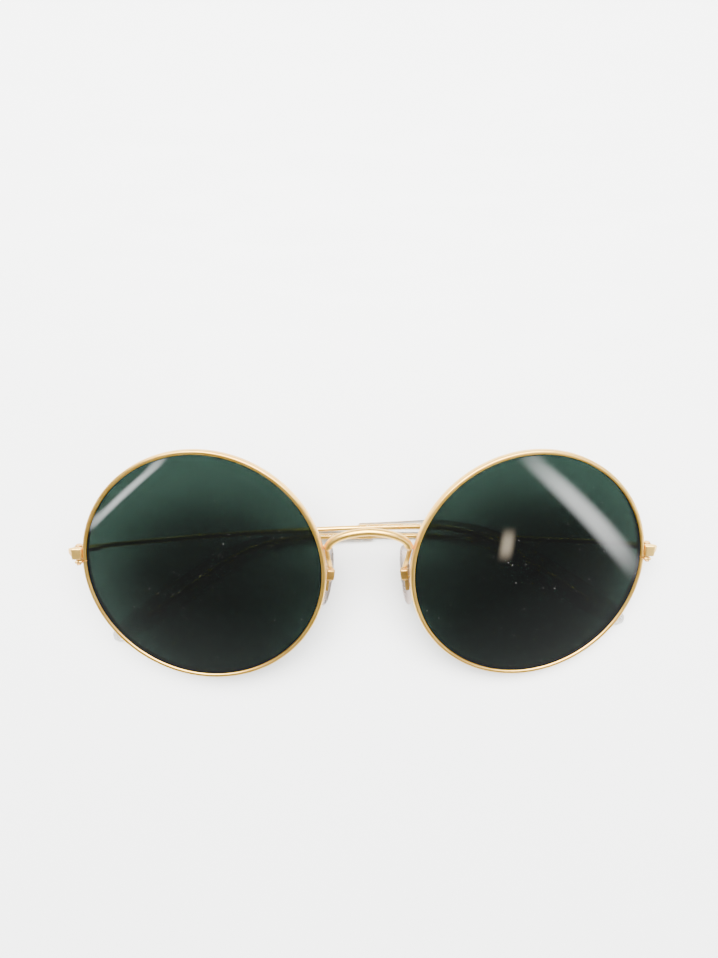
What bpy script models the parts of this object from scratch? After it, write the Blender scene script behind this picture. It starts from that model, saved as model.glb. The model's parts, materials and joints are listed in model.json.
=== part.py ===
"""Round wire-rim sunglasses, resting folded on a table.

The front is modelled in its own upright frame: +X to the wearer's left, +Y back
towards the wearer, +Z up, lens centres at z = 0 and the lens planes meeting at
x = 0.  Everything on the wearer's left is built first and then mirrored.  The
whole front hangs on one empty, which leans it back into its resting pose.
"""
import math

import bmesh
import bpy
from mathutils import Matrix, Vector

MM = 0.001

# Lens and rim: a 55 mm round lens, 20 mm between the lenses.
LENS_SPAN = 37.5 * MM            # lens centre from the meeting line, along the lens plane
WRAP = math.radians(6.25)        # each lens plane turns back by this much
RIM_INNER_R = 26.95 * MM
RIM_OUTER_R = 28.05 * MM
RIM_DEPTH = 1.9 * MM
RIM_EDGE = 0.25 * MM             # chamfer of the rim's four long edges
GROOVE_R = 27.45 * MM
GROOVE_MOUTH = 0.9 * MM
GROOVE_FLOOR = 0.24 * MM
LENS_R = 26.83 * MM              # edge of the lens body, inside the rim
LENS_BEVEL_R = 27.34 * MM        # crest of the bevel, in the groove
LENS_CURVE_R = 132.0 * MM
LENS_THICKNESS = 1.8 * MM
ROUND_STEPS = 48
RIM_SPLIT = 0.3 * MM             # saw cut that lets the rim open for the lens
RIM_SPLIT_Z = 1.25 * MM

# Bridge: one arched wire soldered between the rims.
BRIDGE_R = 0.9 * MM
BRIDGE_HALF = 9.02 * MM
BRIDGE_FOOT_Z = 6.2 * MM
BRIDGE_RISE = 4.4 * MM
BRIDGE_FULLNESS = 1.8            # 2 would be an ellipse
BRIDGE_FOOT_Y = 1.12 * MM
BRIDGE_CROWN_Y = -0.4 * MM
BRIDGE_TOE = Vector((8.86, 1.14, 5.2)) * MM

# End piece: the lug on the rim's outer side, with the tab that stops the temple.
LUG_X = (64.0 * MM, 67.5 * MM)
LUG_Y = (5.9 * MM, 7.1 * MM)
LUG_Z = (1.4 * MM, 4.3 * MM)
LUG_EDGE = 0.3 * MM
TAB_OUTLINE = ((67.0, 6.3), (67.35, 6.1), (68.0, 6.75), (68.75, 7.9), (68.75, 8.72),
               (67.8, 8.72), (67.8, 7.95), (67.2, 7.02), (67.0, 7.02))
TAB_Z = (2.2 * MM, 3.4 * MM)
SADDLE_GAP = 0.1 * MM            # solder gap between a block and the rim

# Rim lock: the block under the end piece, drawn up to it by a screw.
LOCK_X = (64.0 * MM, 66.9 * MM)
LOCK_Y = (6.1 * MM, 7.9 * MM)
LOCK_Z = (0.4 * MM, 1.1 * MM)
RIM_SCREW_X = 66.1 * MM
RIM_SCREW_Y = 6.5 * MM
RIM_SCREW_TOP = 3.0 * MM
RIM_SCREW_R = 0.32 * MM
RIM_SCREW_HEAD_R = 0.52 * MM
RIM_SCREW_HEAD = 0.3 * MM

# Hinge: two front knuckles, one temple knuckle between them, one screw.
HINGE_X = 66.4 * MM
HINGE_Y = 8.45 * MM
HINGE_Z = 2.5 * MM
KNUCKLE_R = 1.1 * MM
KNUCKLE_HALF = 0.45 * MM         # half height of the temple's knuckle
KNUCKLE_GAP = 0.08 * MM
HINGE_HALF = 1.25 * MM           # half height of the whole barrel
HINGE_WEB = 0.75 * MM
HINGE_PLATE_Y = (7.15 * MM, 7.27 * MM)
HINGE_PLATE_X = (65.5 * MM, 67.3 * MM)
HINGE_SCREW_R = 0.44 * MM
HINGE_SCREW_HEAD_R = 0.8 * MM
HINGE_SCREW_HEAD = 0.42 * MM
SCREW_SLOT = 0.22 * MM
BORE_CLEARANCE = 0.06 * MM
LEAF_X = (0.3 * MM, 1.2 * MM)
LEAF_LENGTH = 4.5 * MM

# Temple: a wire core, bowed inward, with a hook behind the ear.
WIRE_R = 0.6 * MM
WIRE_OFFSET = 1.9 * MM           # wire centre outboard of the hinge axis
WIRE_START = 0.5 * MM
WIRE_END = 127.0 * MM
TEMPLE_LENGTH = 138.0 * MM
TEMPLE_STEP = 4.0 * MM
BOW = 3.2                        # radians of inward turn per metre, up to the hook
HOOK_START = 80.0 * MM
HOOK_RADIUS = 43.0 * MM
HOOK_ANGLE = math.radians(34.5)
HOOK_TOE_IN = math.radians(7.5)

# Clear acetate sleeve over the wire: round at its mouth, a flat paddle at its end.
SLEEVE_START = 65.0 * MM
SLEEVE_MOUTH_R = 1.15 * MM
PADDLE_HALF_WIDTH = 3.25 * MM
PADDLE_HALF_THICKNESS = 1.3 * MM
PADDLE_START = 122.0 * MM
SLEEVE_SIDES = 12
SLEEVE_BORE_R = 0.72 * MM

# Folded position of each temple: its turn inward from straight back.
FOLD_LEFT = math.radians(76.6)
FOLD_RIGHT = math.radians(78.6)
# Play in the hinges: the left temple hangs a little low, the right one rides up.
TILT_LEFT = math.radians(-0.65)
TILT_RIGHT = math.radians(2.05)

# Nose pads: arm, box, screw, insert and clear pad.
ARM_R = 0.55 * MM
ARM_ROUTE = ((9.5, 2.6, 6.4), (9.35, 2.6, 5.2), (9.15, 2.7, 3.9), (8.95, 3.05, 2.6),
             (8.75, 3.75, 1.4), (8.65, 4.45, 0.5), (8.6, 4.8, -0.35))
PAD_PIVOT = Vector((8.65, 5.0, -1.9)) * MM
PAD_LEAN = math.radians(7.7)     # tops of the pads lean towards the nose
PAD_SPLAY = math.radians(12)     # backs of the pads stand apart
BOX_X = 1.0 * MM
BOX_Y = (-1.15 * MM, 0.9 * MM)
BOX_Z = 1.35 * MM
BOX_SLOT_Y = -0.72 * MM
BOX_SLOT_Z = 0.75 * MM
STUB_X = 0.48 * MM
STUB_Y = (-0.5 * MM, 1.6 * MM)
STUB_Z = 0.68 * MM
BLADE_X = 0.45 * MM
BLADE_Y = (1.2 * MM, 4.6 * MM)
BLADE_Z = (-5.0 * MM, 0.9 * MM)
PAD_SCREW_R = 0.3 * MM
PAD_SCREW_HEAD_R = 0.55 * MM
PAD_SCREW_HEAD = 0.3 * MM
PAD_CENTRE = Vector((-0.4, 4.7, -2.7)) * MM
PAD_HALF_WIDTH = 3.3 * MM
PAD_HALF_HEIGHT = 7.6 * MM
PAD_HALF_THICKNESS = 1.15 * MM
PAD_ROUNDING = 0.75 * MM
POCKET_GAP = 0.08 * MM

# Resting pose: the front leans back onto the folded temples.
LEAN_BACK = math.radians(73.1)
ROLL = math.radians(2.8)

MIRROR_X = Matrix.Scale(-1, 4, (1, 0, 0))


# ---------------------------------------------------------------- scene set-up

def clear_scene():
    for obj in list(bpy.data.objects):
        bpy.data.objects.remove(obj, do_unlink=True)


def new_collection(name):
    collection = bpy.data.collections.new(name)
    bpy.context.scene.collection.children.link(collection)
    return collection


def new_material(name, colour, roughness, metallic=0.0, transmission=0.0):
    material = bpy.data.materials.new(name)
    material.use_nodes = True
    shader = material.node_tree.nodes["Principled BSDF"]
    shader.inputs["Base Color"].default_value = (*colour, 1.0)
    shader.inputs["Roughness"].default_value = roughness
    shader.inputs["Metallic"].default_value = metallic
    shader.inputs["Transmission Weight"].default_value = transmission
    return material


clear_scene()
PARTS = new_collection("round_sunglasses")
CUTTERS = new_collection("cutters")
GOLD = new_material("satin_gold", (0.80, 0.58, 0.32), 0.32, metallic=1.0)
SCREW_GOLD = new_material("screw_gold", (0.62, 0.44, 0.22), 0.28, metallic=1.0)
LENS_GREEN = new_material("green_glass", (0.03, 0.07, 0.05), 0.04, transmission=0.4)
CLEAR_ACETATE = new_material("clear_acetate", (0.90, 0.88, 0.84), 0.12, transmission=0.9)
CLEAR_SILICONE = new_material("clear_silicone", (0.93, 0.91, 0.90), 0.2, transmission=0.9)


# ---------------------------------------------------------------- small tools

def add_empty(name, location=(0, 0, 0), rotation=(0, 0, 0), parent=None):
    empty = bpy.data.objects.new(name, None)
    empty.empty_display_size = 5 * MM
    PARTS.objects.link(empty)
    empty.location = location
    empty.rotation_euler = rotation
    empty.parent = parent
    return empty


def add_object(name, mesh, location=(0, 0, 0), rotation=(0, 0, 0), collection=None):
    obj = bpy.data.objects.new(name, mesh)
    (collection or PARTS).objects.link(obj)
    obj.location = location
    obj.rotation_euler = rotation
    return obj


def bake(obj):
    """Replace the object's data by its evaluated mesh, with loose caps welded."""
    bpy.context.view_layer.update()
    graph = bpy.context.evaluated_depsgraph_get()
    mesh = bpy.data.meshes.new_from_object(obj.evaluated_get(graph))
    mesh.name = obj.name
    shape = bmesh.new()
    shape.from_mesh(mesh)
    bmesh.ops.remove_doubles(shape, verts=shape.verts, dist=0.001 * MM)
    shape.to_mesh(mesh)
    shape.free()
    collection = obj.users_collection[0]
    baked = bpy.data.objects.new(obj.name + "_mesh", mesh)
    collection.objects.link(baked)
    baked.matrix_world = obj.matrix_world
    name = obj.name
    bpy.data.objects.remove(obj, do_unlink=True)
    baked.name = name
    return baked


def box(name, x, y, z, collection=None):
    """A box between the given limits on each axis."""
    shape = bmesh.new()
    bmesh.ops.create_cube(shape, size=1.0)
    size = (x[1] - x[0], y[1] - y[0], z[1] - z[0])
    centre = Vector(((x[0] + x[1]) / 2, (y[0] + y[1]) / 2, (z[0] + z[1]) / 2))
    bmesh.ops.scale(shape, vec=size, verts=shape.verts)
    mesh = bpy.data.meshes.new(name)
    shape.to_mesh(mesh)
    shape.free()
    return add_object(name, mesh, location=centre, collection=collection)


def cylinder(name, centre, radius, z, segments=16, collection=None):
    """An upright cylinder between two heights."""
    shape = bmesh.new()
    bmesh.ops.create_cone(shape, cap_ends=True, segments=segments,
                          radius1=radius, radius2=radius, depth=z[1] - z[0])
    mesh = bpy.data.meshes.new(name)
    shape.to_mesh(mesh)
    shape.free()
    location = (centre[0], centre[1], (z[0] + z[1]) / 2)
    return add_object(name, mesh, location=location, collection=collection)


def prism(name, outline, z, collection=None):
    """A flat outline in millimetres, extruded between two heights."""
    curve = bpy.data.curves.new(name, "CURVE")
    curve.dimensions = "2D"
    curve.fill_mode = "BOTH"
    curve.extrude = (z[1] - z[0]) / 2
    spline = curve.splines.new("POLY")
    spline.points.add(len(outline) - 1)
    for point, (x, y) in zip(spline.points, outline):
        point.co = (x * MM, y * MM, 0, 1)
    spline.use_cyclic_u = True
    obj = add_object(name, curve, location=(0, 0, (z[0] + z[1]) / 2), collection=collection)
    return bake(obj)


def turned(name, profile, location, rotation, steps=ROUND_STEPS, closed=False):
    """A profile of (radius, height) points turned about the local Z axis."""
    shape = bmesh.new()
    verts = [shape.verts.new((radius, 0, height)) for radius, height in profile]
    for first, second in zip(verts, verts[1:]):
        shape.edges.new((first, second))
    if closed:
        shape.edges.new((verts[-1], verts[0]))
    mesh = bpy.data.meshes.new(name)
    shape.to_mesh(mesh)
    shape.free()
    obj = add_object(name, mesh, location=location, rotation=rotation)
    screw = obj.modifiers.new("turn", "SCREW")
    screw.steps = steps
    screw.render_steps = steps
    screw.use_merge_vertices = True
    screw.merge_threshold = 0.001 * MM
    return bake(obj)


def wire(name, route, radius, sides=2):
    """A round wire through the given points, with flat ends."""
    curve = bpy.data.curves.new(name, "CURVE")
    curve.dimensions = "3D"
    curve.bevel_depth = radius
    curve.bevel_resolution = sides
    curve.use_fill_caps = True
    spline = curve.splines.new("POLY")
    spline.points.add(len(route) - 1)
    for point, place in zip(spline.points, route):
        point.co = (*place, 1)
    return bake(add_object(name, curve))


def soften(obj, width, segments=2):
    bevel = obj.modifiers.new("edges", "BEVEL")
    bevel.width = width
    bevel.segments = segments
    return bake(obj)


def combine(obj, tools, operation):
    """Join the tools to the object, or cut them from it, and put the tools away."""
    for tool in tools:
        modifier = obj.modifiers.new(tool.name, "BOOLEAN")
        modifier.operation = operation
        modifier.solver = "EXACT"
        modifier.object = tool
    name = obj.name
    obj = bake(obj)
    obj.name = name
    for tool in tools:
        for collection in tool.users_collection:
            collection.objects.unlink(tool)
        CUTTERS.objects.link(tool)
        tool.hide_render = True
        tool.display_type = "WIRE"
    return obj


def cut(obj, *tools):
    return combine(obj, tools, "DIFFERENCE")


def join(obj, *tools):
    return combine(obj, tools, "UNION")


def finish(obj, material, parent, smooth=True):
    """Give the piece its material and hang it on its parent, whose frame it was built in."""
    obj.data.materials.clear()
    obj.data.materials.append(material)
    if smooth:
        obj.data.shade_smooth()
        obj.data.set_sharp_from_angle(angle=math.radians(35))
    obj.parent = parent
    return obj


# ---------------------------------------------------------------- empties

front = add_empty("front_frame")
hinge_pivots = {
    "left": add_empty("left_hinge_pivot", (HINGE_X, HINGE_Y, HINGE_Z),
                      (TILT_LEFT, 0, FOLD_LEFT), front),
    "right": add_empty("right_hinge_pivot", (-HINGE_X, HINGE_Y, HINGE_Z),
                       (TILT_RIGHT, 0, -FOLD_RIGHT), front),
}
pad_pivots = {
    "left": add_empty("left_pad_pivot", PAD_PIVOT, (0, -PAD_LEAN, -PAD_SPLAY), front),
    "right": add_empty("right_pad_pivot", (-PAD_PIVOT.x, PAD_PIVOT.y, PAD_PIVOT.z),
                       (0, PAD_LEAN, PAD_SPLAY), front),
}
RIM_CENTRE = Vector((LENS_SPAN * math.cos(WRAP), LENS_SPAN * math.sin(WRAP), 0))
RIM_TURN = (-math.pi / 2, 0, WRAP)


# ---------------------------------------------------------------- front pieces

def make_rim():
    half = RIM_DEPTH / 2
    profile = [(RIM_OUTER_R, half - RIM_EDGE), (RIM_OUTER_R, -half + RIM_EDGE),
               (RIM_OUTER_R - RIM_EDGE, -half), (RIM_INNER_R + RIM_EDGE / 2, -half),
               (RIM_INNER_R, -half + RIM_EDGE / 2), (RIM_INNER_R, -GROOVE_MOUTH / 2),
               (GROOVE_R, -GROOVE_FLOOR / 2), (GROOVE_R, GROOVE_FLOOR / 2),
               (RIM_INNER_R, GROOVE_MOUTH / 2), (RIM_INNER_R, half - RIM_EDGE / 2),
               (RIM_INNER_R + RIM_EDGE / 2, half), (RIM_OUTER_R - RIM_EDGE, half)]
    rim = turned("left_rim", profile, RIM_CENTRE, RIM_TURN, closed=True)
    split_x = (LUG_X[0] - 1.5 * MM, LUG_X[1])
    split = box("rim_split_cutter", split_x, (4 * MM, 10 * MM),
                (RIM_SPLIT_Z - RIM_SPLIT / 2, RIM_SPLIT_Z + RIM_SPLIT / 2))
    return finish(cut(rim, split), GOLD, front)


def sagitta(radius):
    return LENS_CURVE_R - math.sqrt(LENS_CURVE_R ** 2 - radius ** 2)


def make_lens():
    half = LENS_THICKNESS / 2
    rings = (1.0, 0.75, 0.4, 0.0)
    edge_sag = sagitta(LENS_R)
    back = [(LENS_R * ring, half - edge_sag + sagitta(LENS_R * ring)) for ring in rings]
    face = [(LENS_R * ring, -half - edge_sag + sagitta(LENS_R * ring)) for ring in reversed(rings)]
    mouth = GROOVE_MOUTH / 2 - 0.12 * MM
    bevel = [(LENS_R, -mouth), (LENS_BEVEL_R, -0.05 * MM), (LENS_BEVEL_R, 0.05 * MM), (LENS_R, mouth)]
    outline = list(reversed(back)) + list(reversed(bevel)) + list(reversed(face))
    lens = turned("left_lens", outline, RIM_CENTRE, RIM_TURN)
    return finish(lens, LENS_GREEN, front)


def saddle_cutter(name):
    """A disc as large as the rim, which shapes a block to sit on the rim's side."""
    shape = bmesh.new()
    bmesh.ops.create_cone(shape, cap_ends=True, segments=2 * ROUND_STEPS, depth=10 * MM,
                          radius1=RIM_OUTER_R + SADDLE_GAP, radius2=RIM_OUTER_R + SADDLE_GAP)
    mesh = bpy.data.meshes.new(name)
    shape.to_mesh(mesh)
    shape.free()
    return add_object(name, mesh, location=RIM_CENTRE, rotation=RIM_TURN)


def make_end_piece():
    lug = soften(box("left_end_piece", LUG_X, LUG_Y, LUG_Z), LUG_EDGE)
    tab = prism("stop_tab", TAB_OUTLINE, TAB_Z)
    lug = join(lug, tab)
    bore = cylinder("rim_screw_bore", (RIM_SCREW_X, RIM_SCREW_Y), RIM_SCREW_R + BORE_CLEARANCE,
                    (0, RIM_SCREW_TOP + 0.1 * MM), 12)
    return finish(cut(lug, saddle_cutter("lug_saddle_cutter"), bore), GOLD, front)


def make_rim_lock():
    lock = soften(box("left_rim_lock", LOCK_X, LOCK_Y, LOCK_Z), 0.15 * MM, 1)
    bore = cylinder("lock_bore", (RIM_SCREW_X, RIM_SCREW_Y), RIM_SCREW_R + BORE_CLEARANCE,
                    (-1 * MM, 3 * MM), 12)
    return finish(cut(lock, saddle_cutter("lock_saddle_cutter"), bore), GOLD, front)


def make_screw(name, place, shank_r, shank_z, head_r, head_height, head_up):
    """A slotted screw: the head sits beyond one end of the shank."""
    screw = cylinder(name, place, shank_r, shank_z, 12)
    if head_up:
        head_z = (shank_z[1] - 0.02 * MM, shank_z[1] + head_height)
        slot_z = (head_z[1] - head_height / 2, head_z[1] + head_height)
    else:
        head_z = (shank_z[0] - head_height, shank_z[0] + 0.02 * MM)
        slot_z = (head_z[0] - head_height, head_z[0] + head_height / 2)
    head = soften(cylinder(name + "_head", place, head_r, head_z), head_height / 4, 1)
    screw = join(screw, head)
    slot = box(name + "_slot", (place[0] - 2 * head_r, place[0] + 2 * head_r),
               (place[1] - SCREW_SLOT / 2, place[1] + SCREW_SLOT / 2), slot_z)
    return cut(screw, slot)


def make_rim_screw():
    shank_z = (LOCK_Z[0] - 0.05 * MM, RIM_SCREW_TOP)
    screw = make_screw("left_rim_screw", (RIM_SCREW_X, RIM_SCREW_Y), RIM_SCREW_R, shank_z,
                       RIM_SCREW_HEAD_R, RIM_SCREW_HEAD, head_up=False)
    return finish(screw, SCREW_GOLD, front)


def make_front_hinge():
    low = (HINGE_Z - HINGE_HALF, HINGE_Z - KNUCKLE_HALF - KNUCKLE_GAP)
    high = (HINGE_Z + KNUCKLE_HALF + KNUCKLE_GAP, HINGE_Z + HINGE_HALF)
    leaf = box("left_front_hinge", HINGE_PLATE_X, HINGE_PLATE_Y, (low[0], high[1]))
    tools = []
    for label, z in (("low", low), ("high", high)):
        tools.append(cylinder(label + "_knuckle", (HINGE_X, HINGE_Y), KNUCKLE_R, z))
        tools.append(box(label + "_web", (HINGE_X - HINGE_WEB, HINGE_X + HINGE_WEB),
                         (HINGE_PLATE_Y[0] + 0.02 * MM, HINGE_Y), z))
    leaf = join(leaf, *tools)
    bore = cylinder("front_hinge_bore", (HINGE_X, HINGE_Y), HINGE_SCREW_R + BORE_CLEARANCE,
                    (0, 8 * MM))
    return finish(cut(leaf, bore), GOLD, front)


def make_hinge_screw():
    shank_z = (HINGE_Z - HINGE_HALF, HINGE_Z + HINGE_HALF + 0.05 * MM)
    screw = make_screw("left_hinge_screw", (HINGE_X, HINGE_Y), HINGE_SCREW_R, shank_z,
                       HINGE_SCREW_HEAD_R, HINGE_SCREW_HEAD, head_up=True)
    return finish(screw, SCREW_GOLD, front)


def make_bridge():
    """Half an ellipse between the rims, bowed forward at its crown."""
    steps = 28
    route = [Vector((-BRIDGE_TOE.x, BRIDGE_TOE.y, BRIDGE_TOE.z))]
    for step in range(steps + 1):
        angle = math.pi * (1 - step / steps)
        across = abs(math.cos(angle)) ** (2 / BRIDGE_FULLNESS)
        x = math.copysign(BRIDGE_HALF * across, math.cos(angle))
        y = BRIDGE_CROWN_Y + (BRIDGE_FOOT_Y - BRIDGE_CROWN_Y) * across ** 2
        rise = math.sin(angle) ** (2 / BRIDGE_FULLNESS) if 0 < step < steps else 0
        route.append(Vector((x, y, BRIDGE_FOOT_Z + BRIDGE_RISE * rise)))
    route.append(BRIDGE_TOE.copy())
    return finish(wire("bridge", route, BRIDGE_R, sides=3), GOLD, front)


def smooth_route(points, spacing=3):
    """Catmull-Rom points through the given ones."""
    places = [Vector(point) * MM for point in points]
    padded = [2 * places[0] - places[1]] + places + [2 * places[-1] - places[-2]]
    route = []
    for p0, p1, p2, p3 in zip(padded, padded[1:], padded[2:], padded[3:]):
        for step in range(spacing):
            t = step / spacing
            route.append(0.5 * (2 * p1 + (p2 - p0) * t + (2 * p0 - 5 * p1 + 4 * p2 - p3) * t ** 2
                                + (3 * p1 - p0 - 3 * p2 + p3) * t ** 3))
    route.append(places[-1])
    return route


def make_pad_arm():
    return finish(wire("left_pad_arm", smooth_route(ARM_ROUTE), ARM_R), GOLD, front)


# ---------------------------------------------------------------- nose pad pieces

def make_pad_box():
    """A clip open towards the pad; it is fixed to the arm, so it rides on the front."""
    clip = soften(box("left_pad_box", (-BOX_X, BOX_X), BOX_Y, (-BOX_Z, BOX_Z)), 0.2 * MM)
    slot = box("pad_box_slot", (-2 * BOX_X, 2 * BOX_X), (BOX_SLOT_Y, 2 * BOX_Y[1]),
               (-BOX_SLOT_Z, BOX_SLOT_Z))
    bore = cylinder("pad_box_bore", (0, 0), PAD_SCREW_R + BORE_CLEARANCE, (-3 * MM, 3 * MM), 12)
    clip = cut(clip, slot, bore)
    return finish(clip, GOLD, pad_pivots["left"])


def make_pad_screw():
    shank_z = (-BOX_Z - 0.05 * MM, BOX_Z - 0.1 * MM)
    screw = make_screw("left_pad_screw", (0, 0), PAD_SCREW_R, shank_z,
                       PAD_SCREW_HEAD_R, PAD_SCREW_HEAD, head_up=False)
    return finish(screw, SCREW_GOLD, pad_pivots["left"])


def make_pad_insert():
    """The stub that turns on the screw, and the blade that the pad is moulded on."""
    insert = box("left_pad_insert", (-STUB_X, STUB_X), STUB_Y, (-STUB_Z, STUB_Z))
    blade = box("pad_blade", (-BLADE_X, BLADE_X), BLADE_Y, BLADE_Z)
    bore = cylinder("pad_insert_bore", (0, 0), PAD_SCREW_R + BORE_CLEARANCE, (-3 * MM, 3 * MM), 12)
    return finish(cut(join(insert, blade), bore), GOLD, pad_pivots["left"])


def make_nose_pad():
    """An oval cushion with rounded edges and a pocket for the blade."""
    name = "left_nose_pad"
    curve = bpy.data.curves.new(name, "CURVE")
    curve.dimensions = "2D"
    curve.fill_mode = "BOTH"
    curve.extrude = PAD_HALF_THICKNESS - PAD_ROUNDING
    curve.bevel_depth = PAD_ROUNDING
    curve.bevel_resolution = 2
    spline = curve.splines.new("POLY")
    sides = 28
    spline.points.add(sides - 1)
    for index, point in enumerate(spline.points):
        angle = 2 * math.pi * index / sides
        point.co = ((PAD_HALF_WIDTH - PAD_ROUNDING) * math.cos(angle),
                    (PAD_HALF_HEIGHT - PAD_ROUNDING) * math.sin(angle), 0, 1)
    spline.use_cyclic_u = True
    # The outline's plane stands up: its X runs back, its Y up, its thickness sideways.
    pad = bake(add_object(name, curve, location=PAD_CENTRE,
                          rotation=(math.pi / 2, 0, math.pi / 2)))
    pocket = box("pad_pocket", (-BLADE_X - POCKET_GAP, BLADE_X + POCKET_GAP),
                 (0, BLADE_Y[1] + POCKET_GAP), (BLADE_Z[0] - POCKET_GAP, BLADE_Z[1] + POCKET_GAP))
    mouth = box("pad_mouth", (-STUB_X - POCKET_GAP, STUB_X + POCKET_GAP),
                (0, STUB_Y[1] + POCKET_GAP), (-STUB_Z - POCKET_GAP, STUB_Z + POCKET_GAP))
    return finish(cut(pad, pocket, mouth), CLEAR_SILICONE, pad_pivots["left"])


# ---------------------------------------------------------------- temple pieces

def make_temple_hinge():
    leaf = cylinder("left_temple_hinge", (0, 0), KNUCKLE_R, (-KNUCKLE_HALF, KNUCKLE_HALF))
    arm = box("temple_leaf", LEAF_X, (0, LEAF_LENGTH), (-KNUCKLE_HALF, KNUCKLE_HALF))
    bore = cylinder("temple_hinge_bore", (0, 0), HINGE_SCREW_R + BORE_CLEARANCE,
                    (-3 * MM, 3 * MM))
    return finish(cut(join(leaf, arm), bore), GOLD, hinge_pivots["left"])


def temple_frames():
    """(length along the wire, place, direction, width axis) every TEMPLE_STEP."""
    frames = []
    place = Vector((WIRE_OFFSET, WIRE_START, 0))
    fine = 6
    step = TEMPLE_STEP / fine
    for count in range(int(TEMPLE_LENGTH / step) + 2):
        length = count * step
        turn = BOW * min(length, HOOK_START)
        ahead = Vector((-math.sin(turn), math.cos(turn), 0))
        inward = Vector((-math.cos(turn), -math.sin(turn), 0))
        dip = min(max((length - HOOK_START) / HOOK_RADIUS, 0), HOOK_ANGLE)
        down = Vector((0, 0, -math.cos(HOOK_TOE_IN))) + inward * math.sin(HOOK_TOE_IN)
        direction = ahead * math.cos(dip) + down * math.sin(dip)
        width_axis = down * math.cos(dip) - ahead * math.sin(dip)
        if count % fine == 0:
            frames.append((length, place.copy(), direction, width_axis))
        place += direction * step
    return frames


def make_temple():
    route = [place for length, place, _, _ in temple_frames() if length <= WIRE_END]
    return finish(wire("left_temple", route, WIRE_R), GOLD, hinge_pivots["left"])


def ease(value):
    value = min(max(value, 0), 1)
    return value * value * (3 - 2 * value)


def sleeve_size(length):
    """Half width and half thickness of the sleeve at a length along the wire."""
    grown = ease((length - SLEEVE_START) / (PADDLE_START - SLEEVE_START))
    width = SLEEVE_MOUTH_R + (PADDLE_HALF_WIDTH - SLEEVE_MOUTH_R) * grown
    thickness = SLEEVE_MOUTH_R + (PADDLE_HALF_THICKNESS - SLEEVE_MOUTH_R) * grown
    return width, thickness


def add_ring(shape, place, direction, width_axis, width, thickness):
    side_axis = direction.cross(width_axis).normalized()
    ring = []
    for index in range(SLEEVE_SIDES):
        angle = 2 * math.pi * index / SLEEVE_SIDES
        ring.append(shape.verts.new(place + width_axis * width * math.cos(angle)
                                    + side_axis * thickness * math.sin(angle)))
    return ring


def add_band(shape, first, second):
    count = len(first)
    for index in range(count):
        following = (index + 1) % count
        shape.faces.new((first[index], first[following], second[following], second[index]))


def make_temple_tip():
    """A loft over the wire: outer skin, rounded end, and a blind bore for the wire."""
    frames = [frame for frame in temple_frames() if frame[0] > SLEEVE_START]
    shape = bmesh.new()
    outer = []
    for length, place, direction, width_axis in frames:
        if length > WIRE_END:
            break
        width, thickness = sleeve_size(length)
        outer.append(add_ring(shape, place, direction, width_axis, width, thickness))
    last_length, last_place, direction, width_axis = [f for f in frames if f[0] <= WIRE_END][-1]
    reach = TEMPLE_LENGTH - last_length
    for part in (0.35, 0.62, 0.82, 0.94):
        width, thickness = sleeve_size(last_length)
        shrink = math.sqrt(1 - part ** 2)
        outer.append(add_ring(shape, last_place + direction * reach * part, direction, width_axis,
                              width * shrink, thickness * max(shrink, 0.5)))
    inner = [add_ring(shape, place, ahead, axis, SLEEVE_BORE_R, SLEEVE_BORE_R)
             for length, place, ahead, axis in frames if length <= WIRE_END - TEMPLE_STEP / 2]
    inner.append(add_ring(shape, last_place + direction * 0.6 * MM, direction, width_axis,
                          SLEEVE_BORE_R, SLEEVE_BORE_R))
    for rings in (outer, inner):
        for first, second in zip(rings, rings[1:]):
            add_band(shape, first, second)
    add_band(shape, inner[0], outer[0])
    shape.faces.new(outer[-1])
    shape.faces.new(inner[-1])
    bmesh.ops.recalc_face_normals(shape, faces=shape.faces)
    mesh = bpy.data.meshes.new("left_temple_tip")
    shape.to_mesh(mesh)
    shape.free()
    tip = add_object("left_temple_tip", mesh)
    return finish(tip, CLEAR_ACETATE, hinge_pivots["left"])


# ---------------------------------------------------------------- right side

def mirror_piece(piece):
    """The wearer's right piece: the left one reflected through x = 0."""
    mesh = piece.data.copy()
    mesh.transform(MIRROR_X)
    mesh.flip_normals()
    name = piece.name.replace("left", "right")
    mesh.name = name
    twin = add_object(name, mesh)
    parents = {front: front, hinge_pivots["left"]: hinge_pivots["right"],
               pad_pivots["left"]: pad_pivots["right"]}
    twin.parent = parents[piece.parent]
    twin.matrix_local = MIRROR_X @ piece.matrix_local @ MIRROR_X
    return twin


def set_down():
    """Lean the front back and stand the glasses on z = 0, centred on the origin."""
    front.rotation_euler = (-LEAN_BACK, ROLL, 0)
    bpy.context.view_layer.update()
    points = [piece.matrix_world @ vert.co for piece in PARTS.objects if piece.type == "MESH"
              for vert in piece.data.vertices]
    low = Vector([min(point[axis] for point in points) for axis in range(3)])
    high = Vector([max(point[axis] for point in points) for axis in range(3)])
    front.location = (-(low.x + high.x) / 2, -(low.y + high.y) / 2, -low.z)


left_pieces = [make_rim(), make_lens(), make_end_piece(), make_rim_lock(), make_rim_screw(),
               make_front_hinge(), make_hinge_screw(), make_pad_arm(), make_pad_box(),
               make_pad_screw(), make_pad_insert(), make_nose_pad(), make_temple_hinge(),
               make_temple(), make_temple_tip()]
bpy.context.view_layer.update()
for piece in left_pieces:
    mirror_piece(piece)
make_bridge()
set_down()
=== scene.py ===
"""Looks for the round wire-rim sunglasses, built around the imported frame.

Shapes are made in the front's own upright frame (+X to the wearer's left, +Y back, +Z up, lens
centres at z = 0) and carried to the resting pose by FRONT, which comes from the temple hinges. Temples
and nose pads are made in the frames of their own pivots. Right-hand pieces mirror left-hand ones.
"""

import json
import math

import bmesh
import bpy
from mathutils import Matrix, Vector


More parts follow.
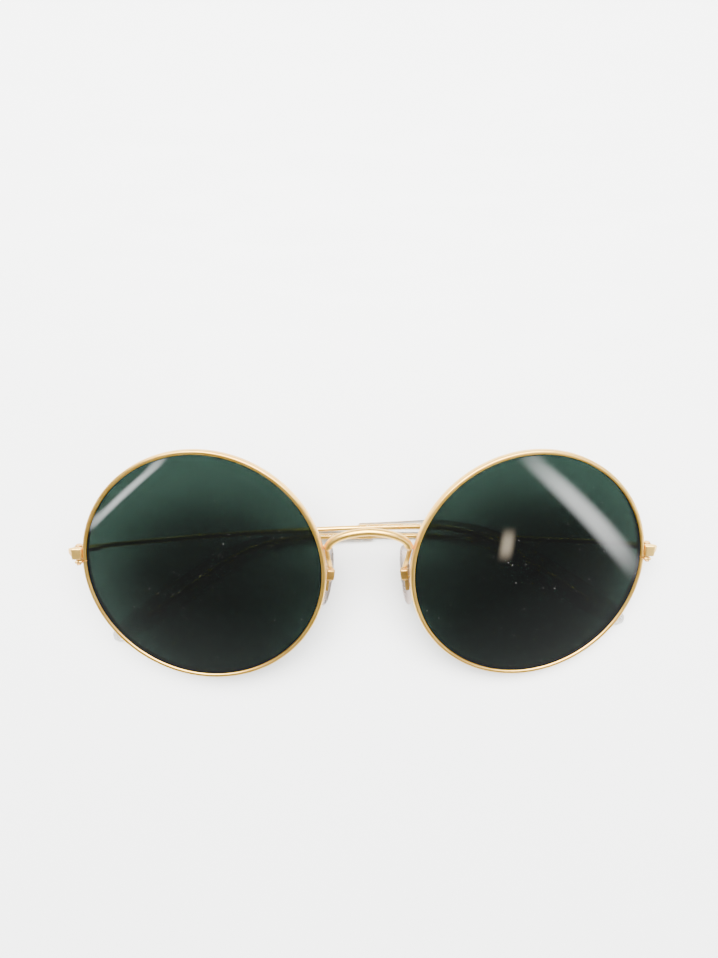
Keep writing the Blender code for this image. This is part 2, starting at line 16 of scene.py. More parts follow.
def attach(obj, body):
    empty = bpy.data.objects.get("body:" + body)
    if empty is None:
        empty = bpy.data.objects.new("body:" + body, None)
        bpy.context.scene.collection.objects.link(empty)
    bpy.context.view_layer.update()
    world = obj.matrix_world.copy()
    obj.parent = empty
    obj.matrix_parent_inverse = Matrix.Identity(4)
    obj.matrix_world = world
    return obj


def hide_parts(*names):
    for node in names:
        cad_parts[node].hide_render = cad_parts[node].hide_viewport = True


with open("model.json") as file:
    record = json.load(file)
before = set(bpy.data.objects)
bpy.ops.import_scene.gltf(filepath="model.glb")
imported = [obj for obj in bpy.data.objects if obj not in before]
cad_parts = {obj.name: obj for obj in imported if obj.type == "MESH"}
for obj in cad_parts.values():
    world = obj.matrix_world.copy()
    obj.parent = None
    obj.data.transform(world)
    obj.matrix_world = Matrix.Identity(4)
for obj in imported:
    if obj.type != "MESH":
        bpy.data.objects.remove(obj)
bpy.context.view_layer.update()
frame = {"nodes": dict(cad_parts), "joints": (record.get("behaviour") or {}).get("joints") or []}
MM = 0.001

# Hinges, in the front's frame. FOLD turns each temple from straight back to where it rests, and TILT
# is how far it then rides up or hangs low.
HINGE_X = 66.4 * MM
HINGE_Y = 8.45 * MM
HINGE_Z = 2.5 * MM
FOLD = {"left": math.radians(76.6), "right": math.radians(78.6)}
TILT = {"left": math.radians(-0.65), "right": math.radians(2.05)}
SIGN = {"left": 1, "right": -1}

# Rim and lens.
LENS_SPAN = 37.5 * MM
WRAP = math.radians(6.25)
RIM_INNER_R = 26.95 * MM
RIM_OUTER_R = 28.05 * MM
RIM_HALF_DEPTH = 0.95 * MM
RIM_COVER = math.radians(158)      # how far round its section the wire is rounded, each way
RIM_SQUARENESS = 0.6               # 1 is an ellipse, smaller is boxier
GROOVE_R = 27.45 * MM
GROOVE_HALF_MOUTH = 0.45 * MM
GROOVE_HALF_FLOOR = 0.12 * MM
RIM_SPLIT_ANGLE = math.radians(2.6)
RIM_SPLIT_HALF_ANGLE = math.radians(0.31)
LENS_R = 26.83 * MM
LENS_BEVEL_R = 27.34 * MM
LENS_BEVEL_GAP = 0.12 * MM
LENS_BEVEL_HALF_FLAT = 0.05 * MM
LENS_CURVE_R = 132 * MM
LENS_HALF_THICKNESS = 0.9 * MM

# Bridge and pad arms.
BRIDGE_R = 0.9 * MM
BRIDGE_SWELL = 0.16                # extra radius at the solder, as a share
BRIDGE_SWELL_LENGTH = 1.6 * MM
BRIDGE_END_ROUND = 0.4 * MM
BRIDGE_HALF = 9.02 * MM
BRIDGE_FOOT_Z = 6.2 * MM
BRIDGE_RISE = 4.4 * MM
BRIDGE_FULLNESS = 1.8              # 2 is half an ellipse, larger is squarer
BRIDGE_FOOT_Y = 1.12 * MM
BRIDGE_CROWN_Y = -0.4 * MM
BRIDGE_TOE = Vector((8.86, 1.14, 5.2)) * MM
ARM_R = 0.55 * MM
ARM_SWELL = 0.45                   # extra radius at the solder, as a share
ARM_SWELL_LENGTH = 1.3 * MM
ARM_END_ROUND = 0.25 * MM
ARM_ROUTE = ((9.5, 2.6, 6.4), (9.35, 2.6, 5.2), (9.15, 2.7, 3.9), (8.95, 3.05, 2.6),
             (8.75, 3.75, 1.4), (8.65, 4.45, 0.5), (8.6, 4.8, -0.35))

# Solder between the rim and the end piece.
SOLDER_X = (64.9 * MM, 65.7 * MM)
SOLDER_Y = 6.6 * MM
SOLDER_Z = 2.85 * MM
SOLDER_HALF = (0.5 * MM, 1.15 * MM)
SOLDER_FLARE = 0.24                # extra width where it wets the rim and the end piece, as a share

# Nose pads.
PAD_PIVOT = Vector((8.65, 5.0, -1.9)) * MM
PAD_LEAN = math.radians(7.7)
PAD_SPLAY = math.radians(12)
PAD_CENTRE = Vector((-0.4, 4.7, -2.7)) * MM
PAD_HALF = Vector((1.15, 3.3, 7.6)) * MM
PAD_EDGE = math.radians(88)        # how far the edge rounds over towards each face
PAD_OUTLINE_POWER = 0.62           # smaller makes the faces wider and the edge tighter
PAD_FACE_POWER = 0.7
PAD_TOP_TAPER = 0.14               # width lost at the top, as a share

# Temples and their clear tips.
WIRE_R = 0.6 * MM
WIRE_OFFSET = 1.9 * MM
WIRE_START = 0.5 * MM
WIRE_STEP = 0.25 * MM
WIRE_END_ROUND = 0.3 * MM
WIRE_END = 127 * MM
TEMPLE_LENGTH = 138 * MM
BOW = 3.2                          # radians of inward turn a metre
HOOK_START = 80 * MM
HOOK_RADIUS = 43 * MM
HOOK_ANGLE = math.radians(34.5)
HOOK_TOE_IN = math.radians(7.5)
TIP_START = 65 * MM
TIP_MOUTH_R = 1.15 * MM
TIP_END = 137.4 * MM
PADDLE_START = 122 * MM
PADDLE_TURN = 124 * MM             # where the paddle's edges start to close
PADDLE_HALF_WIDTH = 3.25 * MM
PADDLE_HALF_THICKNESS = 1.3 * MM
PADDLE_LEAST_THICKNESS = 0.5       # share left where the paddle's edges have closed
LIP_ROUND = 0.35 * MM
LIP_SHARE = 0.6                    # share of the sleeve's radius at its mouth
NOSE_ROUND = 0.9 * MM

# Fittings, remeshed finely so that their edges can be rounded.
FINE_GRID = 0.05 * MM
RELAX_SHARE = 0.5                  # of the way to its neighbours' mean that a point moves in a round

# Lens glass.
TINT = (0.090, 0.136, 0.118)       # what one face lets through
SMEARED_TINT = (0.099, 0.147, 0.128)
FACE_MIRROR = 0.042                # what one face mirrors when seen straight on
GRAZING_POWER = 5

# Floor, room and camera.
FLOOR_HALF_SIZE = 3
LAMP_FADE = 0.45                   # share of a lamp's width over which its edge fades
ROOM_COLOUR = (0.97, 1, 1)
ROOM_LOW = 0.1                     # the room dims between these heights of the view direction
ROOM_HIGH = 0.6
ROOM_BRIGHT = 1.15
ROOM_DIM = 0.4
CAMERA_LENS = 24.95                # in mm, as is the sensor
CAMERA_SENSOR = 36
CAMERA_NEAREST = 10 * MM
CAMERA_PLACE = Vector((-7.22, -134.69, 65.34)) * MM
CAMERA_TARGET = Vector((-2.21, 3.0, 21.65)) * MM
CAMERA_UP = Vector((0.002, 0.3024, 0.9532))

SHARP_ANGLE = math.radians(50)     # edges sharper than this stay crisp when shaded
MIRROR = Matrix.Scale(-1, 4, (1, 0, 0))


# ---------------------------------------------------------------- frames

def turned(x_axis, z_axis):
    """The rotation that carries +X and +Z to two axes at right angles."""
    return Matrix((x_axis, z_axis.cross(x_axis), z_axis)).transposed().to_4x4()


def front_frame():
    """The resting place of the front's own frame, from the two temple hinges."""
    joints = {joint["name"]: joint for joint in frame["joints"]}
    left = Vector(joints["left_temple_hinge"]["pos_m"])
    right = Vector(joints["right_temple_hinge"]["pos_m"])
    up = Vector(joints["right_temple_hinge"]["axis"]).normalized()
    across = (left - right).normalized()
    origin = (left + right) / 2 - up.cross(across) * HINGE_Y - up * HINGE_Z
    return Matrix.Translation(origin) @ turned(across, up)


FRONT = front_frame()


def hinge_frame(side):
    """A temple's frame: +Y along the start of the wire, +Z close to the hinge's axis."""
    sign = SIGN[side]
    place = Matrix.Translation((sign * HINGE_X, HINGE_Y, HINGE_Z))
    turn = Matrix.Rotation(sign * FOLD[side], 4, "Z") @ Matrix.Rotation(TILT[side], 4, "X")
    return FRONT @ place @ turn


def pad_frame(side):
    """A nose pad's frame at its pivot: +Z up the pad, leaning and splayed to fit a nose."""
    sign = SIGN[side]
    place = Matrix.Translation((sign * PAD_PIVOT.x, PAD_PIVOT.y, PAD_PIVOT.z))
    turn = Matrix.Rotation(-sign * PAD_SPLAY, 4, "Z") @ Matrix.Rotation(-sign * PAD_LEAN, 4, "Y")
    return FRONT @ place @ turn


# ---------------------------------------------------------------- node helpers

class Nodes:
    """Adds shader nodes to one material and links them."""

    def __init__(self, name):
        self.material = bpy.data.materials.new(name)
        self.material.use_nodes = True
        self.tree = self.material.node_tree
        self.tree.nodes.clear()
        self.output = self.add("ShaderNodeOutputMaterial")
        self.place = self.add("ShaderNodeTexCoord").outputs["Object"]

    def add(self, kind, **inputs):
        node = self.tree.nodes.new(kind)
        for label, value in inputs.items():
            self.feed(node, label.replace("_", " "), value)
        return node

    def feed(self, node, label, value):
        socket = node.inputs[label]
        if isinstance(value, bpy.types.NodeSocket):
            self.tree.links.new(value, socket)
        else:
            socket.default_value = value

    def noise(self, scale, detail=3.0, stretch=(1, 1, 1)):
        """Noise with about scale features a metre, and more of them along an axis that stretch raises."""
        mapping = self.add("ShaderNodeMapping", Vector=self.place, Scale=stretch)
        node = self.add("ShaderNodeTexNoise", Vector=mapping.outputs[0], Scale=scale, Detail=detail)
        return node.outputs["Fac"]

    def ramp(self, value, low, high, start, end):
        """Maps value from low..high to start..end, clamped."""
        node = self.add("ShaderNodeMapRange", Value=value)
        self.feed(node, "From Min", low)
        self.feed(node, "From Max", high)
        self.feed(node, "To Min", start)
        self.feed(node, "To Max", end)
        return node.outputs["Result"]

    def blend(self, factor, first, second):
        """Mixes two colours. The sockets go by number, because the node repeats their names."""
        node = self.tree.nodes.new("ShaderNodeMix")
        node.data_type = "RGBA"
        self.tree.links.new(factor, node.inputs[0])
        node.inputs[6].default_value = (*first, 1)
        node.inputs[7].default_value = (*second, 1)
        return node.outputs[2]

    def power(self, value, exponent):
        node = self.add("ShaderNodeMath")
        node.operation = "POWER"
        self.tree.links.new(value, node.inputs[0])
        node.inputs[1].default_value = exponent
        return node.outputs[0]

    def mix(self, factor, first, second):
        """Mixes two shader nodes."""
        node = self.add("ShaderNodeMixShader", Fac=factor)
        self.tree.links.new(first.outputs[0], node.inputs[1])
        self.tree.links.new(second.outputs[0], node.inputs[2])
        return node

    def bump(self, height, strength, distance):
        node = self.add("ShaderNodeBump", Height=height, Strength=strength, Distance=distance)
        return node.outputs["Normal"]

    def show(self, shader):
        self.tree.links.new(shader, self.output.inputs["Surface"])
        return self.material


def gold_material(name, light, dark, roughness):
    """Satin plating: patches of deeper colour, uneven wear and a fine grain."""
    nodes = Nodes(name)
    patch = nodes.ramp(nodes.noise(260, 4), 0.40, 0.70, 0, 1)
    wear = nodes.noise(1800, 4)
    grain = nodes.noise(5200, 2, (1, 1, 0.4))
    shader = nodes.add("ShaderNodeBsdfPrincipled", Metallic=1.0)
    nodes.feed(shader, "Base Color", nodes.blend(patch, light, dark))
    nodes.feed(shader, "Roughness", nodes.ramp(wear, 0.3, 0.7, roughness - 0.03, roughness + 0.04))
    nodes.feed(shader, "Normal", nodes.bump(grain, 0.05, 0.001 * MM))
    return nodes.show(shader.outputs[0])


def lens_material():
    """Green sun glass: each face passes part of the light and mirrors the room; smears and dust."""
    nodes = Nodes("green_sun_glass")
    clear = nodes.add("ShaderNodeBsdfTransparent")
    smear = nodes.ramp(nodes.noise(90, 4, (1, 2.2, 1)), 0.5, 0.75, 0, 1)
    nodes.feed(clear, "Color", nodes.blend(smear, TINT, SMEARED_TINT))
    mirror = nodes.add("ShaderNodeBsdfGlossy")
    nodes.feed(mirror, "Roughness", nodes.ramp(smear, 0, 1, 0.012, 0.045))
    facing = nodes.power(nodes.add("ShaderNodeLayerWeight").outputs["Facing"], GRAZING_POWER)
    glass = nodes.mix(nodes.ramp(facing, 0, 1, FACE_MIRROR, 1), clear, mirror)
    dust = nodes.ramp(nodes.noise(1500, 2), 0.73, 0.78, 0, 0.12)
    speck = nodes.add("ShaderNodeBsdfDiffuse", Color=(0.6, 0.6, 0.57, 1))
    return nodes.show(nodes.mix(dust, glass, speck).outputs[0])


def clear_material(name, colour, cloudy, roughness, ior):
    """Clear moulded plastic: a little haze and slow ripples from polishing."""
    nodes = Nodes(name)
    haze = nodes.ramp(nodes.noise(500, 3), 0.4, 0.7, 0, 1)
    ripple = nodes.noise(420, 2)
    shader = nodes.add("ShaderNodeBsdfPrincipled", IOR=ior)
    shader.inputs["Transmission Weight"].default_value = 1.0
    nodes.feed(shader, "Base Color", nodes.blend(haze, colour, cloudy))
    nodes.feed(shader, "Roughness", nodes.ramp(haze, 0, 1, roughness, roughness + 0.08))
    nodes.feed(shader, "Normal", nodes.bump(ripple, 0.15, 0.05 * MM))
    return nodes.show(shader.outputs[0])


def floor_material():
    """A pale painted table top with a few faint rubs."""
    nodes = Nodes("pale_table")
    cloud = nodes.ramp(nodes.noise(6, 4), 0.35, 0.7, 0, 1)
    rub = nodes.noise(40, 6, (1, 6, 1))
    shader = nodes.add("ShaderNodeBsdfPrincipled")
    nodes.feed(shader, "Base Color", nodes.blend(cloud, (0.83, 0.835, 0.825), (0.80, 0.805, 0.80)))
    nodes.feed(shader, "Roughness", nodes.ramp(rub, 0.4, 0.7, 0.5, 0.38))
    return nodes.show(shader.outputs[0])


GOLD = gold_material(
    "satin_gold_wire", light=(0.82, 0.50, 0.11), dark=(0.72, 0.405, 0.07), roughness=0.31)
BLOCK_GOLD = gold_material(
    "satin_gold_block", light=(0.88, 0.59, 0.17), dark=(0.76, 0.47, 0.11), roughness=0.40)
SCREW = gold_material(
    "screw_gold_steel", light=(0.70, 0.42, 0.13), dark=(0.52, 0.29, 0.08), roughness=0.3)
DARK_GOLD = gold_material(
    "satin_gold_fittings", light=(0.60, 0.35, 0.09), dark=(0.43, 0.24, 0.05), roughness=0.34)
GLASS = lens_material()
TIP_CLEAR = clear_material(
    "clear_acetate", colour=(0.95, 0.94, 0.92), cloudy=(0.90, 0.89, 0.86), roughness=0.06, ior=1.32)
PAD_CLEAR = clear_material(
    "clear_pad", colour=(0.84, 0.70, 0.64), cloudy=(0.74, 0.63, 0.59), roughness=0.26, ior=1.14)


# ---------------------------------------------------------------- mesh helpers

def add_object(name, data):
    thing = bpy.data.objects.new(name, data)
    bpy.context.scene.collection.objects.link(thing)
    return thing


def add_piece(name, mesh, matrix, material, body, slot, *nodes):
    """Puts a finished mesh in place, on its body, in place of CAD nodes; the slot is not used."""
    mesh.transform(matrix)
    piece = add_object(name, mesh)
    mesh.materials.clear()
    mesh.materials.append(material)
    mesh.shade_smooth()
    mesh.set_sharp_from_angle(angle=SHARP_ANGLE)
    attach(piece, body)
    if nodes:
        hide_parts(*nodes)


def mesh_from(shape, name):
    """Ends a bmesh as a mesh; a name that starts with right_ is mirrored from the left-hand shape."""
    if name.startswith("right_"):
        bmesh.ops.transform(shape, matrix=MIRROR, verts=shape.verts)
    bmesh.ops.recalc_face_normals(shape, faces=shape.faces)
    mesh = bpy.data.meshes.new(name)
    shape.to_mesh(mesh)
    shape.free()
    return mesh


def add_ring(shape, centre, first_axis, second_axis, sides):
    ring = []
    for index in range(sides):
        angle = 2 * math.pi * index / sides
        offset = first_axis * math.cos(angle) + second_axis * math.sin(angle)
        ring.append(shape.verts.new(centre + offset))
    return ring


def add_skin(shape, rings):
    """Joins each ring of points to the next."""
    for first, second in zip(rings, rings[1:]):
        for index in range(len(first)):
            after = (index + 1) % len(first)
            shape.faces.new((first[index], first[after], second[after], second[index]))


def add_closed_skin(shape, rings):
    add_skin(shape, rings)
    shape.faces.new(rings[0])
    shape.faces.new(rings[-1])


def loft(sections, sides):
    """A closed skin over sections of (centre, half width vector, half thickness vector)."""
    shape = bmesh.new()
    add_closed_skin(shape, [add_ring(shape, *section, sides) for section in sections])
    return shape


def tube(route, radius_at, sides):
    """A round tube along a route; radius_at takes the length along it and the whole length."""
    lengths = [0.0]
    for before, after in zip(route, route[1:]):
        lengths.append(lengths[-1] + (after - before).length)
    total = lengths[-1]
    sections = []
    side = None
    for index, place in enumerate(route):
        ahead = (route[min(index + 1, len(route) - 1)] - route[max(index - 1, 0)]).normalized()
        side = ahead.orthogonal() if side is None else side
        side = (side - ahead * side.dot(ahead)).normalized()
        radius = radius_at(lengths[index], total)
        sections.append((place, side * radius, ahead.cross(side) * radius))
    return loft(sections, sides)


def signed_power(value, exponent):
    return math.copysign(abs(value) ** exponent, value)


def ease(value):
    """Rises smoothly from 0 to 1 as value does, and stays level outside them."""
    value = min(max(value, 0), 1)
    return value * value * (3 - 2 * value)


def round_end(distance, radius):
    """Share of the radius left at a distance from a rounded end, at least a fiftieth."""
    return math.sqrt(max(1 - max(1 - distance / radius, 0) ** 2, 0.0004))


# ---------------------------------------------------------------- rims and lenses

def lens_axes():
    centre = Vector((LENS_SPAN * math.cos(WRAP), LENS_SPAN * math.sin(WRAP), 0))
    outward = Vector((math.cos(WRAP), math.sin(WRAP), 0))
    back = Vector((-math.sin(WRAP), math.cos(WRAP), 0))
    return centre, outward, back


def rim_profile():
    """(radius, depth) round the wire's section: rounded outside, grooved inside."""
    middle = (RIM_INNER_R + RIM_OUTER_R) / 2
    half = (RIM_OUTER_R - RIM_INNER_R) / 2
    points = []
    steps = 28
    for step in range(steps + 1):
        angle = RIM_COVER * (2 * step / steps - 1)
        across = signed_power(math.cos(angle), RIM_SQUARENESS)
        deep = signed_power(math.sin(angle), RIM_SQUARENESS)
        points.append((middle + half * across, RIM_HALF_DEPTH * deep))
    points.append((RIM_INNER_R, GROOVE_HALF_MOUTH))
    points.append((GROOVE_R, GROOVE_HALF_FLOOR))
    points.append((GROOVE_R, -GROOVE_HALF_FLOOR))
    points.append((RIM_INNER_R, -GROOVE_HALF_MOUTH))
    return points


def make_rim(side):
    centre, outward, back = lens_axes()
    profile = rim_profile()
    shape = bmesh.new()
    steps = 200
    start = RIM_SPLIT_ANGLE + RIM_SPLIT_HALF_ANGLE
    sweep = 2 * math.pi - 2 * RIM_SPLIT_HALF_ANGLE
    rings = []
    for step in range(steps + 1):
        angle = start + sweep * step / steps
        spoke = outward * math.cos(angle) + Vector((0, 0, math.sin(angle)))
        rings.append([shape.verts.new(centre + spoke * radius + back * depth)
                      for radius, depth in profile])
    add_closed_skin(shape, rings)
    mesh = mesh_from(shape, side + "_rim_wire")
    add_piece(side + "_rim_wire", mesh, FRONT, GOLD, "front", "satin_gold", side + "_rim")


def sagitta(radius):
    """How far the lens's curve falls away at a radius from its centre."""
    return LENS_CURVE_R - math.sqrt(LENS_CURVE_R ** 2 - radius ** 2)


def make_lens(side):
    centre, outward, back = lens_axes()
    steps = 20
    sides = 160
    edge = sagitta(LENS_R)
    radii = [LENS_R * (step + 1) / steps for step in range(steps)]
    mouth = GROOVE_HALF_MOUTH - LENS_BEVEL_GAP
    face = [(radius, sagitta(radius) - edge - LENS_HALF_THICKNESS) for radius in radii]
    bevel = [(LENS_R, -mouth), (LENS_BEVEL_R, -LENS_BEVEL_HALF_FLAT),
             (LENS_BEVEL_R, LENS_BEVEL_HALF_FLAT), (LENS_R, mouth)]
    rear = [(radius, sagitta(radius) - edge + LENS_HALF_THICKNESS) for radius in reversed(radii)]
    shape = bmesh.new()
    upright = Vector((0, 0, 1))
    rings = [add_ring(shape, centre + back * depth, outward * radius, upright * radius, sides)
             for radius, depth in face + bevel + rear]
    add_skin(shape, rings)
    for ring, half in ((rings[0], -LENS_HALF_THICKNESS), (rings[-1], LENS_HALF_THICKNESS)):
        apex = shape.verts.new(centre + back * (half - edge))
        for index in range(sides):
            shape.faces.new((ring[index], ring[(index + 1) % sides], apex))
    mesh = mesh_from(shape, side + "_lens_glass")
    add_piece(side + "_lens_glass", mesh, FRONT, GLASS, "front", "green_glass", side + "_lens")


def make_end_solder(side):
    """The fillet of solder that joins the end piece to the rim, narrower in its middle."""
    steps = 12
    sections = []
    for step in range(steps + 1):
        share = step / steps
        flare = 1 + SOLDER_FLARE * (2 * share - 1) ** 2
        x = SOLDER_X[0] + (SOLDER_X[1] - SOLDER_X[0]) * share
        sections.append((Vector((x, SOLDER_Y, SOLDER_Z)), Vector((0, SOLDER_HALF[0] * flare, 0)),
                         Vector((0, 0, SOLDER_HALF[1] * flare))))
    mesh = mesh_from(loft(sections, sides=36), side + "_solder")
    add_piece(side + "_end_solder", mesh, FRONT, GOLD, "front", "satin_gold")


# ---------------------------------------------------------------- bridge, arms and pads

def make_bridge():
    """The arched wire, swelling into the solder at both feet."""
    steps = 96
    route = [Vector((-BRIDGE_TOE.x, BRIDGE_TOE.y, BRIDGE_TOE.z))]
    for step in range(steps + 1):
        angle = math.pi * (1 - step / steps)
        across = abs(math.cos(angle)) ** (2 / BRIDGE_FULLNESS)
        x = math.copysign(BRIDGE_HALF * across, math.cos(angle))
        y = BRIDGE_CROWN_Y + (BRIDGE_FOOT_Y - BRIDGE_CROWN_Y) * across ** 2
        rise = math.sin(angle) ** (2 / BRIDGE_FULLNESS) if 0 < step < steps else 0
        route.append(Vector((x, y, BRIDGE_FOOT_Z + BRIDGE_RISE * rise)))
    route.append(BRIDGE_TOE.copy())

    def radius_at(length, total):
        to_end = min(length, total - length)
        swell = 1 + BRIDGE_SWELL * (1 - ease(to_end / BRIDGE_SWELL_LENGTH))
        return BRIDGE_R * swell * round_end(to_end, BRIDGE_END_ROUND)

    mesh = mesh_from(tube(route, radius_at, sides=36), "bridge_wire")
    add_piece("bridge_wire", mesh, FRONT, GOLD, "front", "satin_gold", "bridge")


def smooth_route(points, steps):
    """A Catmull-Rom curve through points in mm, with steps places from each to the next."""
    places = [Vector(point) * MM for point in points]
    padded = [2 * places[0] - places[1]] + places + [2 * places[-1] - places[-2]]
    route = []
    for p0, p1, p2, p3 in zip(padded, padded[1:], padded[2:], padded[3:]):
        for step in range(steps):
            t = step / steps
            route.append(0.5 * (2 * p1 + (p2 - p0) * t + (2 * p0 - 5 * p1 + 4 * p2 - p3) * t ** 2
                                + (3 * p1 - p0 - 3 * p2 + p3) * t ** 3))
    route.append(places[-1])
    return route


def make_pad_arm(side):
    """The bent wire from the rim to the pad, swelling into the solder where it starts."""
    def radius_at(length, total):
        swell = 1 + ARM_SWELL * (1 - ease(length / ARM_SWELL_LENGTH))
        return ARM_R * swell * round_end(min(length, total - length), ARM_END_ROUND)

    route = smooth_route(ARM_ROUTE, steps=10)
    mesh = mesh_from(tube(route, radius_at, sides=24), side + "_arm")
    add_piece(side + "_pad_arm_wire", mesh, FRONT, GOLD, "front", "satin_gold", side + "_pad_arm")


def make_nose_pad(side):
    """A soft-edged oval: flat on its faces, fuller below than above."""
    bands = 40
    sections = []
    for band in range(bands + 1):
        lean = PAD_EDGE * (2 * band / bands - 1)
        spread = math.cos(lean) ** PAD_OUTLINE_POWER
        height = signed_power(math.sin(lean), PAD_FACE_POWER) * PAD_HALF.x
        sections.append((PAD_CENTRE + Vector((height, 0, 0)), Vector((0, PAD_HALF.y * spread, 0)),
                         Vector((0, 0, PAD_HALF.z * spread))))
    shape = loft(sections, sides=72)
    for vert in shape.verts:
        up = (vert.co.z - PAD_CENTRE.z) / PAD_HALF.z
        vert.co.y = PAD_CENTRE.y + (vert.co.y - PAD_CENTRE.y) * (1 - PAD_TOP_TAPER * max(up, 0) ** 2)
    mesh = mesh_from(shape, side + "_pad")
    add_piece(side + "_pad_cushion", mesh, pad_frame(side), PAD_CLEAR, side + "_pad", "clear_pad",
              side + "_nose_pad")


# ---------------------------------------------------------------- temples

def temple_sections(spacing):
    """(length, place, direction, width axis) along the wire: bowed inward, then hooked down."""
    sections = []
    place = Vector((WIRE_OFFSET, WIRE_START, 0))
    every = round(spacing / WIRE_STEP)
    for count in range(int(TEMPLE_LENGTH / WIRE_STEP) + 1):
        length = count * WIRE_STEP
        turn = BOW * min(length, HOOK_START)
        ahead = Vector((-math.sin(turn), math.cos(turn), 0))
        inward = Vector((-math.cos(turn), -math.sin(turn), 0))
        dip = min(max((length - HOOK_START) / HOOK_RADIUS, 0), HOOK_ANGLE)
        down = Vector((0, 0, -math.cos(HOOK_TOE_IN))) + inward * math.sin(HOOK_TOE_IN)
        direction = ahead * math.cos(dip) + down * math.sin(dip)
        width_axis = down * math.cos(dip) - ahead * math.sin(dip)
        if count % every == 0:
            sections.append((length, place.copy(), direction, width_axis))
        place += direction * WIRE_STEP
    return sections


def make_temple(side):
    def radius_at(length, total):
        return WIRE_R * round_end(min(length, total - length), WIRE_END_ROUND)

    sections = temple_sections(spacing=2 * WIRE_STEP)
    route = [place for length, place, _, _ in sections if length <= WIRE_END]
    mesh = mesh_from(tube(route, radius_at, sides=24), side + "_wire")
    add_piece(side + "_temple_wire", mesh, hinge_frame(side), GOLD, side + "_arm", "satin_gold",
              side + "_temple")


def make_temple_tip(side):
    """The clear sleeve: round at its mouth, growing into a flat paddle with a closed nose."""
    sections = []
    for length, place, direction, width_axis in temple_sections(spacing=WIRE_STEP):
        if length < TIP_START or length > TIP_END:
            continue
        grown = ease((length - TIP_START) / (PADDLE_START - TIP_START))
        width = TIP_MOUTH_R + (PADDLE_HALF_WIDTH - TIP_MOUTH_R) * grown
        thickness = TIP_MOUTH_R + (PADDLE_HALF_THICKNESS - TIP_MOUTH_R) * grown
        closing = max((length - PADDLE_TURN) / (TEMPLE_LENGTH - PADDLE_TURN), 0)
        narrow = math.sqrt(1 - closing ** 2)
        lip = LIP_SHARE + (1 - LIP_SHARE) * round_end(length - TIP_START, LIP_ROUND)
        nose = round_end(TIP_END - length, NOSE_ROUND)
        width *= lip * narrow * nose
        thickness *= lip * max(narrow, PADDLE_LEAST_THICKNESS) * nose
        side_axis = direction.cross(width_axis).normalized()
        sections.append((place, width_axis * width, side_axis * thickness))
    mesh = mesh_from(loft(sections, sides=48), side + "_tip")
    add_piece(side + "_tip_sleeve", mesh, hinge_frame(side), TIP_CLEAR, side + "_arm",
              "clear_acetate", side + "_temple_tip")


# ---------------------------------------------------------------- small fittings

def worn_copy(node, material, body, slot, rounds):
    """A CAD fitting with its edges tumbled soft: remeshed finely, then relaxed for some rounds."""
    draft = add_object(node + "_draft", frame["nodes"][node].data.copy())
    remesh = draft.modifiers.new("fine", "REMESH")
    remesh.mode = "VOXEL"
    remesh.voxel_size = FINE_GRID
    relax = draft.modifiers.new("relax", "SMOOTH")
    relax.factor = RELAX_SHARE
    relax.iterations = rounds
    bpy.context.view_layer.update()
    graph = bpy.context.evaluated_depsgraph_get()
    mesh = bpy.data.meshes.new_from_object(draft.evaluated_get(graph))
    bpy.data.objects.remove(draft)
    add_piece(node + "_worn", mesh, Matrix.Identity(4), material, body, slot, node)


# Each fitting's node, material, body, slot and rounds; {} stands for the side.
FITTINGS = (
    ("{}_end_piece", BLOCK_GOLD, "front", "satin_gold", 90),
    ("{}_rim_lock", BLOCK_GOLD, "front", "satin_gold", 8),
    ("{}_front_hinge", DARK_GOLD, "front", "satin_gold", 14),
    ("{}_pad_box", DARK_GOLD, "front", "satin_gold", 400),
    ("{}_rim_screw", SCREW, "front", "screw_gold", 3),
    ("{}_hinge_screw", SCREW, "front", "screw_gold", 3),
    ("{}_pad_screw", SCREW, "front", "screw_gold", 3),
    ("{}_temple_hinge", DARK_GOLD, "{}_arm", "satin_gold", 14),
    ("{}_pad_insert", DARK_GOLD, "{}_pad", "satin_gold", 24),
)

for side in SIGN:
    make_rim(side)
    make_lens(side)
    make_end_solder(side)
    make_pad_arm(side)
    make_nose_pad(side)
    make_temple(side)
    make_temple_tip(side)
    for node, material, body, slot, rounds in FITTINGS:
        worn_copy(node.format(side), material, body.format(side), slot, rounds)
make_bridge()


# ---------------------------------------------------------------- stage, light and camera

def add_floor():
    mesh = bpy.data.meshes.new("table_top")
    shape = bmesh.new()
    bmesh.ops.create_grid(shape, x_segments=1, y_segments=1, size=FLOOR_HALF_SIZE)
    shape.to_mesh(mesh)
    shape.free()
    floor = add_object("table_top", mesh)
    mesh.materials.append(floor_material())


def fade_lamp(light):
    """Lets a soft box fade to nothing at its edges."""
    light.use_nodes = True
    tree = light.node_tree
    place = tree.nodes.new("ShaderNodeNewGeometry")
    split = tree.nodes.new("ShaderNodeSeparateXYZ")
    tree.links.new(place.outputs["Parametric"], split.inputs[0])
    shares = []
    for axis in ("X", "Y"):
        ramp = tree.nodes.new("ShaderNodeMapRange")
        ramp.interpolation_type = "SMOOTHSTEP"
        away = tree.nodes.new("ShaderNodeMath")
        away.operation = "PINGPONG"
        away.inputs[1].default_value = 0.5
        tree.links.new(split.outputs[axis], away.inputs[0])
        tree.links.new(away.outputs[0], ramp.inputs["Value"])
        ramp.inputs["From Max"].default_value = LAMP_FADE
        shares.append(ramp.outputs[0])
    both = tree.nodes.new("ShaderNodeMath")
    both.operation = "MULTIPLY"
    for index, share in enumerate(shares):
        tree.links.new(share, both.inputs[index])
    tree.links.new(both.outputs[0], tree.nodes["Emission"].inputs["Strength"])


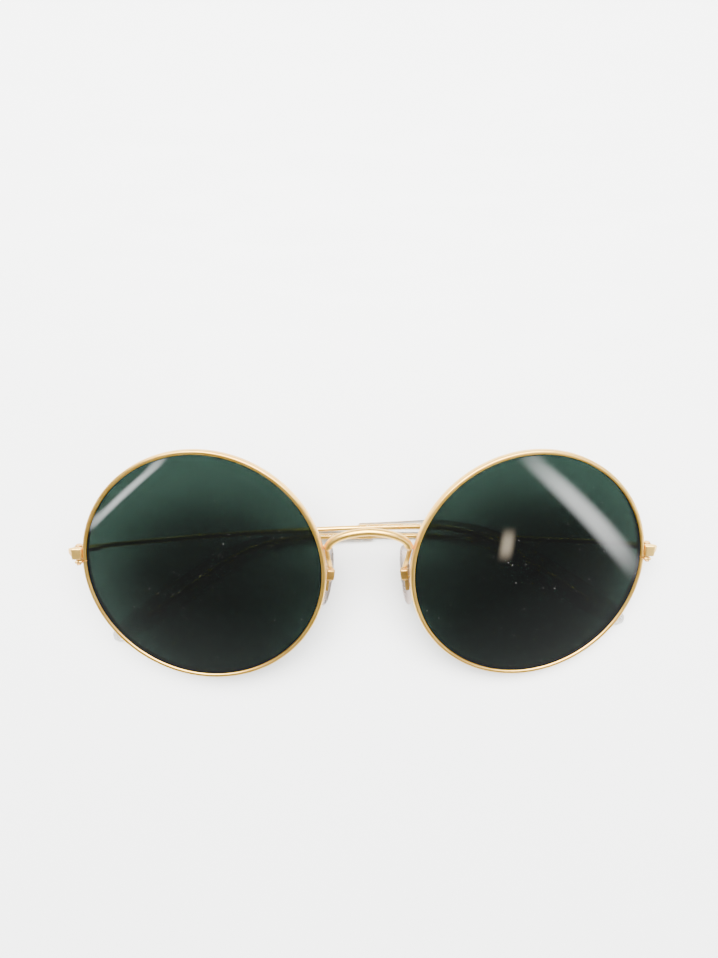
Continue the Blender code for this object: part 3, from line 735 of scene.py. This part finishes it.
def add_lamp(name, start, end, width, power, colour=(1, 1, 1)):
    """A long soft box from start to end, facing the glasses."""
    start = Vector(start)
    end = Vector(end)
    light = bpy.data.lights.new(name, "AREA")
    light.shape = "RECTANGLE"
    light.size = (end - start).length
    light.size_y = width
    light.energy = power
    light.color = colour
    fade_lamp(light)
    middle = (start + end) / 2
    away = middle.normalized()
    along = (end - start).normalized()
    along = (along - away * along.dot(away)).normalized()
    add_object(name, light).matrix_world = Matrix.Translation(middle) @ turned(along, away)


def add_room():
    """A room that is pale towards the horizon and dim overhead."""
    world = bpy.data.worlds.new("studio")
    world.use_nodes = True
    bpy.context.scene.world = world
    tree = world.node_tree
    tree.nodes["Background"].inputs["Color"].default_value = (*ROOM_COLOUR, 1)
    place = tree.nodes.new("ShaderNodeTexCoord")
    split = tree.nodes.new("ShaderNodeSeparateXYZ")
    ramp = tree.nodes.new("ShaderNodeMapRange")
    tree.links.new(place.outputs["Generated"], split.inputs[0])
    tree.links.new(split.outputs["Z"], ramp.inputs["Value"])
    ramp.inputs["From Min"].default_value = ROOM_LOW
    ramp.inputs["From Max"].default_value = ROOM_HIGH
    ramp.inputs["To Min"].default_value = ROOM_BRIGHT
    ramp.inputs["To Max"].default_value = ROOM_DIM
    tree.links.new(ramp.outputs[0], tree.nodes["Background"].inputs["Strength"])


def add_camera():
    """Looks down at the front from above the brow, as a phone held over the table would."""
    camera = bpy.data.cameras.new("camera")
    camera.lens = CAMERA_LENS
    camera.sensor_width = CAMERA_SENSOR
    camera.clip_start = CAMERA_NEAREST
    viewer = add_object("camera", camera)
    away = (CAMERA_PLACE - CAMERA_TARGET).normalized()
    right = CAMERA_UP.cross(away).normalized()
    viewer.matrix_world = FRONT @ Matrix.Translation(CAMERA_PLACE) @ turned(right, away)
    bpy.context.scene.camera = viewer


add_floor()
add_room()
add_lamp("key", start=(-1.4, 0.46, 1.0), end=(1.4, 0.46, 1.0), width=1.0, power=400)
add_lamp("left_tube", start=(-0.78, -0.345, 0.5), end=(-0.20, 0.0, 0.5), width=0.03, power=1.5)
add_lamp("right_tube", start=(0.20, -0.01, 0.5), end=(0.98, -0.515, 0.5), width=0.1, power=7)
add_lamp("window", start=(0.272, -0.27, 0.5), end=(0.285, -0.40, 0.5), width=0.06, power=0.35,
         colour=(1.0, 0.84, 0.62))
add_camera()
